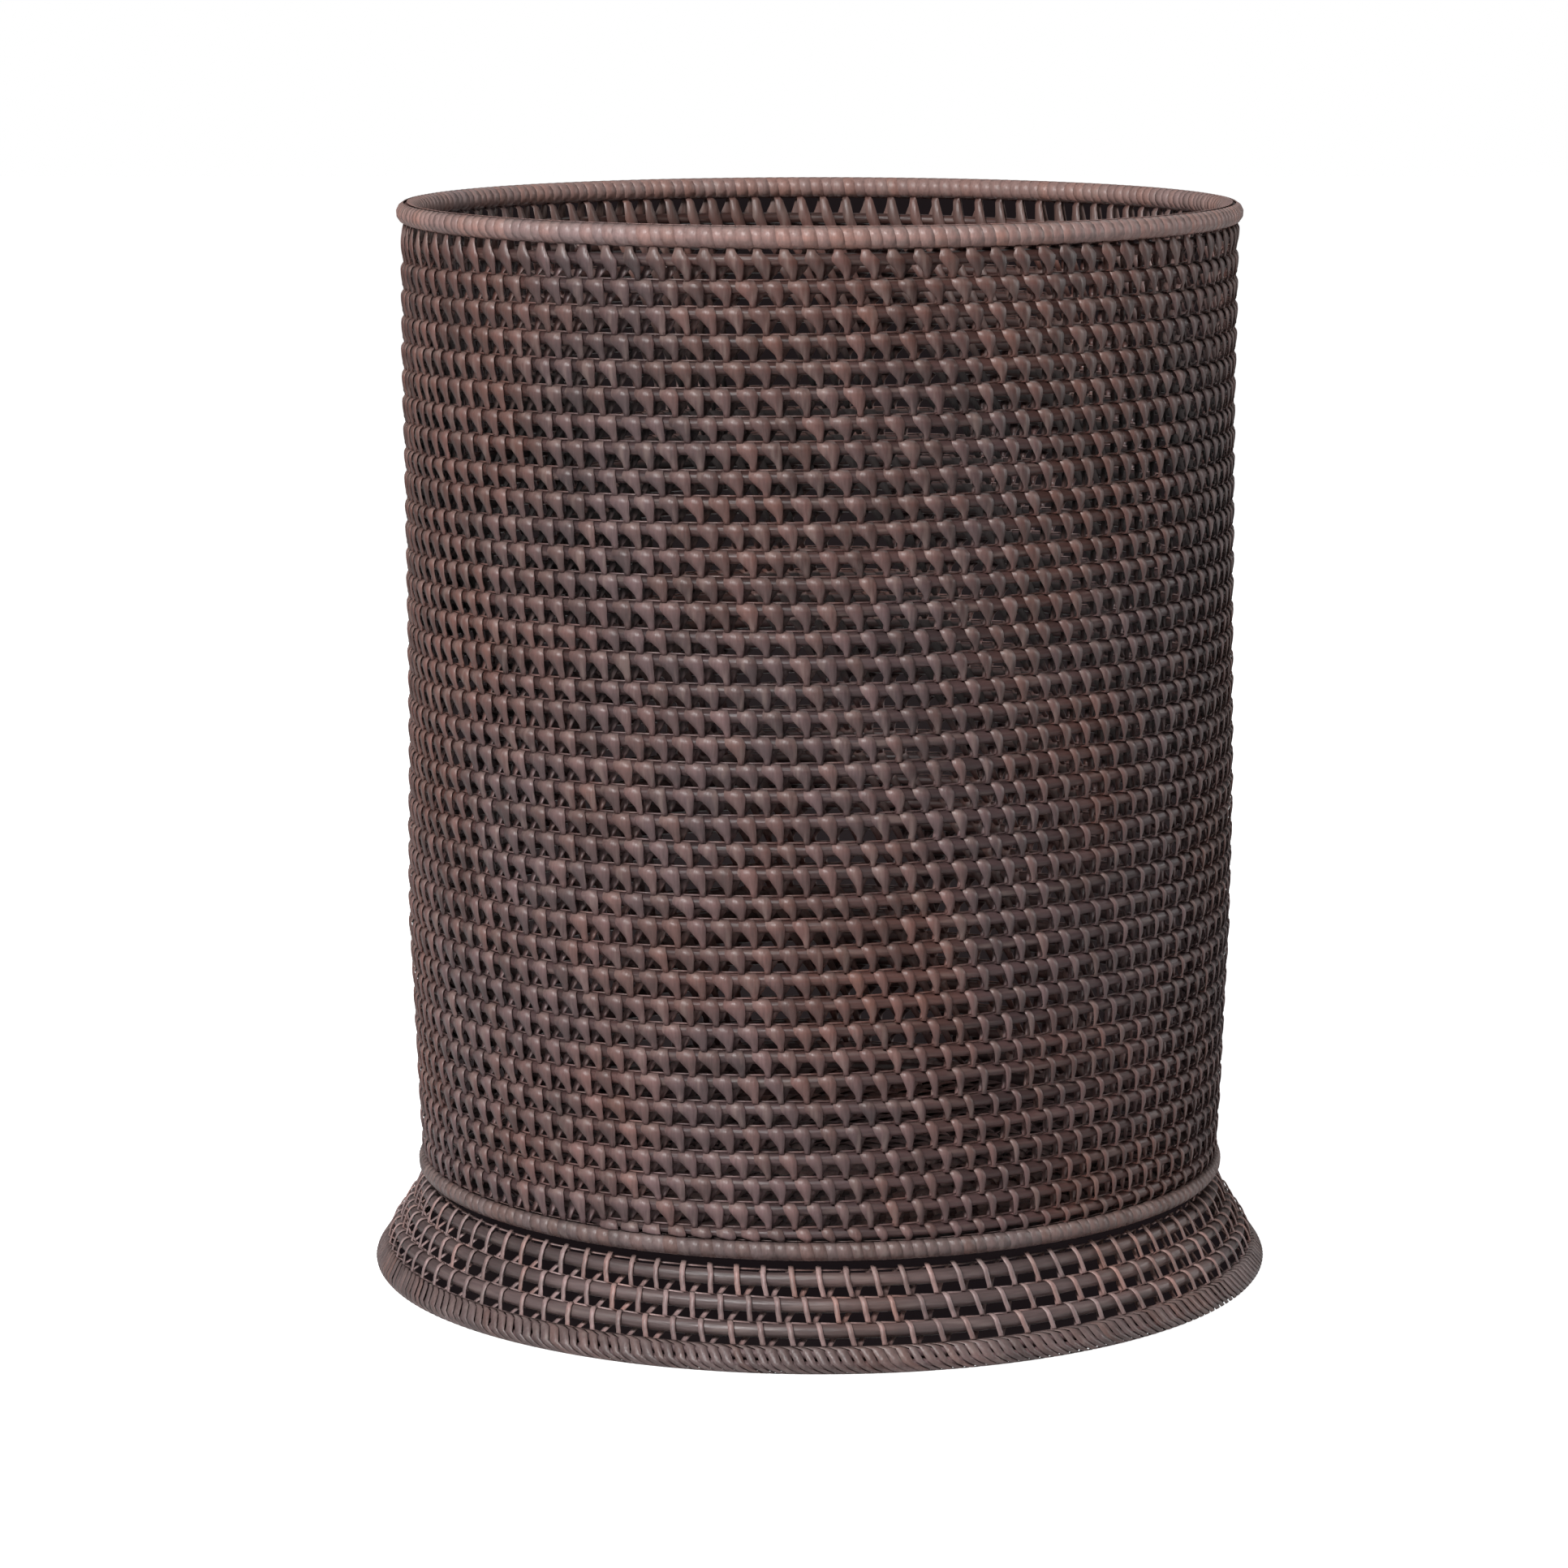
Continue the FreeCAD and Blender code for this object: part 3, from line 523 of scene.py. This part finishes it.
# ---- wall: cane stitches over the rod, half a stitch along from turn to turn. left and right are a strip's two
# edges, in shares of the spacing, at the angles round the rod in turned.
stripRise = 0.38 * mm  # from the rod to the middle of the strip on it
stops = [0, 30, 56, 80, 100, 117, 127, 134, 142, 156, 180, 205, 250, 300, 360]
stitch = {"steps": 14, "rings": stops, "turned": stops, "thickness": 0.55 * mm,
          "reach": wallRodRadius + stripRise, "path": reachingPath(False),
          "left": [-0.52, -0.54, -0.55, -0.55, -0.50, -0.25, -0.10, -0.01, 0.03, 0.03, 0.05, 0, 0.15, 0.35, 0.48],
          "right": [0.16, 0.22, 0.30, 0.36, 0.38, 0.34, 0.32, 0.30, 0.29, 0.28, 0.24, 0.25, 0.60, 0.90, 1.16],
          "twist": [0, 0, 0, 0, 0, 0, -0.06, -0.1, -0.2, 0.1, 0, -0.1, 0, 0, 0], "perTurn": 104.5}
openStitch = {**stitch,  # narrow, where the rod shows between the stitches
              "left": [-0.22, -0.19, -0.14, -0.08, -0.03, 0, 0.01, 0.02, 0.03, 0.03, 0.05, 0, 0.15, 0.35, 0.78],
              "right": [0.06, 0.10, 0.16, 0.21, 0.24, 0.26, 0.26, 0.26, 0.25, 0.24, 0.23, 0.25, 0.60, 0.90, 1.06]}
rimStops = [0, 30, 56, 80, 100, 117, 127, 142, 156, 180, 205, 250, 290, 336, 360]
rimStitch = {**stitch, "path": reachingPath(True), "rings": rimStops, "turned": rimStops,
             "left": [-0.34, -0.34, -0.40, -0.50, -0.46, -0.25, -0.10, 0.02, 0.03, 0.05, 0.05, 0.15, 0.30, 0.58, 0.66],
             "right": [-0.08, -0.04, 0.08, 0.28, 0.36, 0.34, 0.32, 0.28, 0.27, 0.24, 0.3, 0.80, 0.90, 0.92, 0.92],
             "twist": [0] * len(rimStops)}
stitchSpread = {"width": 0.08, "out": 0.14, "lean": 0.06}
opening = {"turned": 0.35, "least": -0.2, "growth": 1.15, "otherSide": 0.5, "atHoop": 1.5, "atRim": 0.4,
           "ripple": 0.12}
tailClear = 0.12  # stitches keep this far from the pared end, in radians
wallUnit, openUnit, rimUnit = loopUnit(stitch), loopUnit(openStitch), loopUnit(rimStitch)
wallPitch = fullTurn / stitch["perTurn"]


def openness(angle, share):  # the stitches are slimmer at the right of the front, above all low down
    side = np.cos(angle + opening["turned"])
    side = np.maximum(side, -opening["otherSide"] * side)
    atHeight = opening["atHoop"] + (opening["atRim"] - opening["atHoop"]) * share
    ripple = opening["ripple"] * np.sin(7 * angle + 19 * share)
    return np.clip(opening["least"] + opening["growth"] * side * atHeight + ripple, 0, 1)


firstStitch = math.ceil(coilStart / wallPitch)
lastStitch = math.floor((coilEnd - tailClear) / wallPitch)
for turn in range(wallTurns):
    first = max(firstStitch, math.ceil(turn * stitch["perTurn"]))
    last = min(lastStitch, math.ceil((turn + 1) * stitch["perTurn"]) - 1)
    places = np.arange(first, last + 1) * wallPitch
    height = wallLine(places)[1]
    below = height - wallLine(places - fullTurn)[1]
    below = np.where(places - fullTurn < coilStart, height - hoopTop + stitch["reach"], below)
    above = rimUnderside - height + stitch["reach"]
    atRim = places + fullTurn > coilEnd - tailClear
    openShare = openness(places + firstJoint, wallShare(height))
    laid = []
    for unit, chosen, seed in ((blended(wallUnit, openUnit, openShare[~atRim]), ~atRim, 100 + turn),
                               (rimUnit, atRim, 200 + turn)):
        if chosen.any():
            laid.append(layLoops(unit, places[chosen], wallPitch, wallLine, stitchSpread, seed, firstJoint,
                                 above=above[chosen], below=below[chosen]))
    points, faces, strips = laid[0]
    if len(laid) == 2:  # the coil's last turn passes under the rim part of the way round
        faces = faces + [tuple(index + len(points) for index in face) for face in laid[1][1]]
        points = np.concatenate((points, laid[1][0]))
        strips = np.concatenate((strips, laid[1][2]), axis=1)
    points[:, 2] = np.clip(points[:, 2], hoopTop - 0.5 * mm, rimUnderside + 0.5 * mm)
    finishPiece("wallStitches_%02d" % (wallTurns - turn), points, faces, bindingMaterial,
                ["wall_outer_binding", "wall_inner_binding"], strips)
print("wall stitches laid")


# ---- rim and body hoop: strip wound closely round the rod
closeWrap = {"steps": 12, "rings": [0, 360], "thickness": 0.32 * mm, "path": roundPath(),
             "turned": [0, 360], "left": [-0.95, 0.05], "right": [0.45, 1.45], "twist": [0, 0], "pitch": 3.5 * mm}
wrapSpread = {"width": 0.04, "out": 0.05, "lean": 0.05}


def wrappedRing(name, nodeName, seed, material):
    radius, height, section = ringOf(nodeName)
    count = round(fullTurn * radius / closeWrap["pitch"])
    pitch = fullTurn / count
    unit = loopUnit({**closeWrap, "reach": section - closeWrap["thickness"] / 2 - wrapSpread["out"] * mm})
    points, faces, strips = layLoops(unit, np.arange(count) * pitch, pitch, ringLine(radius, height), wrapSpread, seed)
    finishPiece(name, points, faces, material, [nodeName], strips)


wrappedRing("rimWrap", "rim_wrapping", 21, rimWrapPaintedLighter)
wrappedRing("hoopWrap", "body_hoop_wrapping", 22, wrappingMaterial)
print("rim and body hoop wrapped")

# ---- foot: three rods with stitches on the slope of the skirt
foot = {"stitches": 96, "rods": ["foot_rod_1", "foot_rod_2", "foot_rod_3"], "topReach": 2.9 * mm, "parts": 180}
footRings = [ringOf(node)[:2] for node in foot["rods"]]
edgeRings = [ringOf(node)[:2] for node in ("foot_edge_rod_lower", "foot_edge_rod_upper")]
edgeSection = boxOf("foot_edge_wrapping")[1][0] - edgeRings[0][0]
skirtSlope = math.atan2(edgeRings[0][0] - footRings[2][0], footRings[2][1] - edgeRings[0][1])
footPitch = math.dist(footRings[0], footRings[1])
edgeToFirst = math.dist(footRings[0], edgeRings[1])
footStitch = {
    **stitch, "reach": rodRadius + stripRise, "twist": [0] * len(stops),
    "left": [-0.18, -0.16, -0.13, -0.10, -0.07, -0.05, -0.03, -0.01, 0.02, 0.04, 0.10, 0.20, 0.35, 0.60, 0.82],
    "right": [0.04, 0.06, 0.09, 0.12, 0.14, 0.16, 0.18, 0.20, 0.22, 0.24, 0.30, 0.42, 0.60, 0.85, 1.04]}
footUnit, topFootUnit = loopUnit(footStitch), loopUnit({**footStitch, "path": reachingPath(True)})
stitchTurn = fullTurn / foot["stitches"]
for row, nodeName in enumerate(foot["rods"]):
    line = ringLine(*footRings[row])
    points, faces = layRod(foot["parts"], 0.0, fullTurn, line, 0.0, rodRadius)
    finishPiece("footRod_%d" % (row + 1), points, faces, footRodMaterial, [nodeName])
    places = (np.arange(foot["stitches"]) - row / 2) * stitchTurn
    unit = topFootUnit if row == 2 else footUnit
    above = foot["topReach"] + footStitch["reach"]
    below = edgeToFirst - edgeSection + footStitch["reach"] if row == 0 else footPitch
    points, faces, strips = layLoops(unit, places, stitchTurn, line, stitchSpread, 300 + row, slope=skirtSlope,
                                     above=above, below=below)
    finishPiece("footStitches_%d" % (row + 1), points, faces, footBindingPaintedLighter,
                ["foot_outer_binding", "foot_inner_binding"], strips)

# ---- foot edge: strip wound round two rods, leaning far over
edgeWrap = {**closeWrap, "steps": 14, "pitch": 3.3 * mm, "spacing": 3.4 * mm, "clear": 0.1 * mm,
            "left": [-3.2, 3.8], "right": [-2.3, 4.7]}
edgeSpread = {"width": 0.2, "out": 0.1, "lean": 0.35}
edgeMiddle = [(low + high) / 2 for low, high in zip(*edgeRings)]
edgeCount = round(fullTurn * edgeMiddle[0] / edgeWrap["pitch"])
edgeTurn = fullTurn / edgeCount
edgePath = roundPath()
edgePath[4] = np.sign(np.round(edgePath[2], 6))  # the upper half goes round the upper rod, the lower half the other
edgeReach = edgeSection - edgeWrap["thickness"] / 2 - edgeWrap["clear"]
edgeUnit = loopUnit({**edgeWrap, "path": edgePath, "reach": edgeReach})
points, faces, strips = layLoops(edgeUnit, np.arange(edgeCount) * edgeTurn, edgeTurn, ringLine(*edgeMiddle),
                                 edgeSpread, 31, slope=skirtSlope, above=edgeWrap["spacing"] / 2,
                                 below=edgeWrap["spacing"] / 2)
points[:, 2] = np.maximum(points[:, 2], 0.0)  # the edge stands flat on the floor
finishPiece("edgeWrap", points, faces, wrappingMaterial, ["foot_edge_wrapping"], strips)
print("foot laid")

# ---- base: stitches over the flat coil, which is half circles about two centres
baseCoil = {"eye": 5.0 * mm, "pitch": 7.2 * mm, "spacing": 7.0 * mm}
halfPitch = baseCoil["pitch"] / 2
halfTurns = 1 + int((borderRadius - baseCoil["pitch"] - halfPitch / 2 - baseCoil["eye"]) / halfPitch)
stitchPlaces = []  # for each stitch: the centre of its half circle, the radius, the angle, and the way to the next
travelled, nextPlace = 0.0, 0.0
for half in range(halfTurns):
    radius = baseCoil["eye"] + half * halfPitch
    centreX = -halfPitch / 2 if half % 2 == 0 else halfPitch / 2
    while nextPlace < travelled + math.pi * radius:
        turn = math.pi * (half % 2) + (nextPlace - travelled) / radius
        gap = baseCoil["pitch"]
        if half >= halfTurns - 2:  # known fault: it lengthens these inwards, so the border rod stays unbound
            gap = borderRadius - math.hypot(centreX + radius * math.cos(turn), radius * math.sin(turn))
        stitchPlaces.append((centreX, radius, turn, gap))
        nextPlace += baseCoil["spacing"]
    travelled += math.pi * radius
centreX, radius, turn, gap = np.array(stitchPlaces).T[:, :, None]
baseUnit = loopUnit({**stitch, "reach": rodRadius + stripRise})
turn = turn + (baseUnit["along"] + baseUnit["across"]) * baseCoil["spacing"] / radius
reach = radius + baseUnit["up"] + baseUnit["toNext"] * gap
points = roundTheAxis(reach, turn, baseHeight + baseUnit["out"] + 0 * reach)
points[:, 0] += (centreX + 0 * reach).ravel()
strips = stripValues(baseUnit, len(stitchPlaces), np.random.default_rng(41))
finishPiece("baseStitches", points, copiedFaces(baseUnit, len(stitchPlaces)), bindingMaterial,
            ["base_upper_binding", "base_lower_binding"], strips)

finishes = {"base_coil": rodMaterial, "base_border_rod": rodMaterial, "rim_core": coreMaterial,
            "body_hoop_core": coreMaterial, "foot_edge_rod_lower": coreMaterial, "foot_edge_rod_upper": coreMaterial}
for nodeName, material in finishes.items():
    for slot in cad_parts[nodeName].material_slots:
        slot.material = material
print("base laid")


# ---- floor, light and camera
stage = {"floorSize": 12, "floor": (0.82, 0.82, 0.82, 1), "floorGlow": 0.9, "paintedShadeFloor": (0.02, 0.016, 0.016, 1),
         "paintedShadeGlow": (0.010, 0.007, 0.008, 1), "paintedShadeSky": (0.01, 0.008, 0.008, 1), "ambient": 0.12}
white = (1, 1, 1, 1)


def throughWeave(tree):  # 1 for a camera ray that has passed a clear shell, else 0; it places the painted shade seen through the weave
    rays = tree.nodes.new("ShaderNodeLightPath")
    crossed = mathNode(tree, "GREATER_THAN", rays.outputs["Transparent Depth"], 0.5)
    return rays, mathNode(tree, "MULTIPLY", crossed, rays.outputs["Is Camera Ray"])


def floorFinish():  # pale, shown white, with the basket's shadow; painted shade where it is seen through the weave
    material = bpy.data.materials.new("pale floor")
    material.use_nodes = True
    tree = material.node_tree
    tree.nodes.clear()
    rays, throughWeaveShade = throughWeave(tree)
    plain = tree.nodes.new("ShaderNodeBsdfDiffuse")
    tree.links.new(mixColour(tree, throughWeaveShade, stage["floor"], stage["paintedShadeFloor"]), plain.inputs["Color"])
    glow = tree.nodes.new("ShaderNodeEmission")
    tree.links.new(mixColour(tree, throughWeaveShade, white, stage["paintedShadeGlow"]), glow.inputs["Color"])
    tree.links.new(mathNode(tree, "MULTIPLY", rays.outputs["Is Camera Ray"], stage["floorGlow"]),
                   glow.inputs["Strength"])
    both = tree.nodes.new("ShaderNodeAddShader")
    tree.links.new(plain.outputs[0], both.inputs[0])
    tree.links.new(glow.outputs[0], both.inputs[1])
    tree.links.new(both.outputs[0], tree.nodes.new("ShaderNodeOutputMaterial").inputs[0])
    return material


deselectAll()
bpy.ops.mesh.primitive_plane_add(size=stage["floorSize"], location=(0, 0, 0))
floor = bpy.context.object
floor.name = "floor"
floor.data.materials.append(floorFinish())

# Clear shells round the rods and over the base. They only mark the camera rays that look through the holes, where the
# floor and sky get painted shade.
clear = bpy.data.materials.new("clear")
clear.use_nodes = True
clear.node_tree.nodes.clear()
passing = clear.node_tree.nodes.new("ShaderNodeBsdfTransparent")
clearOut = clear.node_tree.nodes.new("ShaderNodeOutputMaterial")
clear.node_tree.links.new(passing.outputs[0], clearOut.inputs[0])


def stageShell():
    shell = bpy.context.object
    shell.name = "clear shell"
    shell.data.materials.append(clear)


shellSides = 96
wallGap = 1.5 * mm
shellPoints = [(edgeRings[0][0] - 1 * mm, 2 * mm), (fullRadii[0] + 0.5 * mm, (hoopLow[2] + hoopHigh[2]) / 2)]
shellPoints += [(fullRadii[turn] + wallGap, fullTops[turn]) for turn in (0, 12, 24)]
shellPoints += [(fullRadii[-1] + wallGap, (rimLow[2] + rimHigh[2]) / 2)]
deselectAll()
for (lowRadius, low), (highRadius, high) in zip(shellPoints[:-1], shellPoints[1:]):
    bpy.ops.mesh.primitive_cone_add(vertices=shellSides, radius1=lowRadius, radius2=highRadius, depth=high - low,
                                    end_fill_type="NOTHING", location=(0, 0, (low + high) / 2))
    stageShell()
bpy.ops.mesh.primitive_circle_add(vertices=shellSides, radius=borderRadius, fill_type="NGON",
                                  location=(0, 0, baseHeight + rodRadius + 2 * mm))
stageShell()

world = bpy.data.worlds.new("studio")
bpy.context.scene.world = world
world.use_nodes = True
tree = world.node_tree
tree.nodes.clear()
rays, throughWeaveShade = throughWeave(tree)
seen = mathNode(tree, "MAXIMUM", rays.outputs["Is Camera Ray"], rays.outputs["Is Transmission Ray"])
strength = mathNode(tree, "ADD", mathNode(tree, "MULTIPLY", seen, 1 - stage["ambient"]), stage["ambient"])
sky = tree.nodes.new("ShaderNodeBackground")
# painted shade: the sky is nearly black where it is seen through the weave
tree.links.new(mixColour(tree, throughWeaveShade, white, stage["paintedShadeSky"]), sky.inputs["Color"])
tree.links.new(strength, sky.inputs["Strength"])
tree.links.new(sky.outputs[0], tree.nodes.new("ShaderNodeOutputWorld").inputs[0])

lamps = {"key": {"size": (0.8, 0.6), "watts": 50, "place": (-0.75, -1.5, 1.5)},
         "side": {"size": (0.5, 1.2), "watts": 1.5, "place": (-1.5, -0.5, 0.7)},
         "far side": {"size": (0.3, 1.0), "watts": 7, "place": (1.6, 0.5, 0.55)},
         "back": {"size": (1.2, 0.6), "watts": 2, "place": (0.6, 1.4, 1.3)}}
middleHeight = 0.16  # each lamp faces the middle of the basket
for name, v in lamps.items():
    data = bpy.data.lights.new(name, "AREA")
    data.shape = "RECTANGLE"
    data.size, data.size_y = v["size"]
    data.energy = v["watts"]
    light = bpy.data.objects.new(name, data)
    bpy.context.scene.collection.objects.link(light)
    light.location = v["place"]
    x, y, z = v["place"]
    light.rotation_euler = (math.atan2(math.hypot(x, y), z - middleHeight), 0, math.atan2(y, x) + math.pi / 2)

view = {"lens": 118.77, "sensor": 36, "shift": -0.0228, "place": (0, -1.52392, 0.40696), "tilt": 90 - 9.79}
cameraData = bpy.data.cameras.new("camera")
cameraData.sensor_width = view["sensor"]
cameraData.lens = view["lens"]
cameraData.shift_x = view["shift"]
camera = bpy.data.objects.new("camera", cameraData)
bpy.context.scene.collection.objects.link(camera)
camera.location = view["place"]
camera.rotation_euler = (math.radians(view["tilt"]), 0, 0)
bpy.context.scene.camera = camera
bpy.context.scene.view_settings.view_transform = "Standard"
print("stage, lights and camera set")
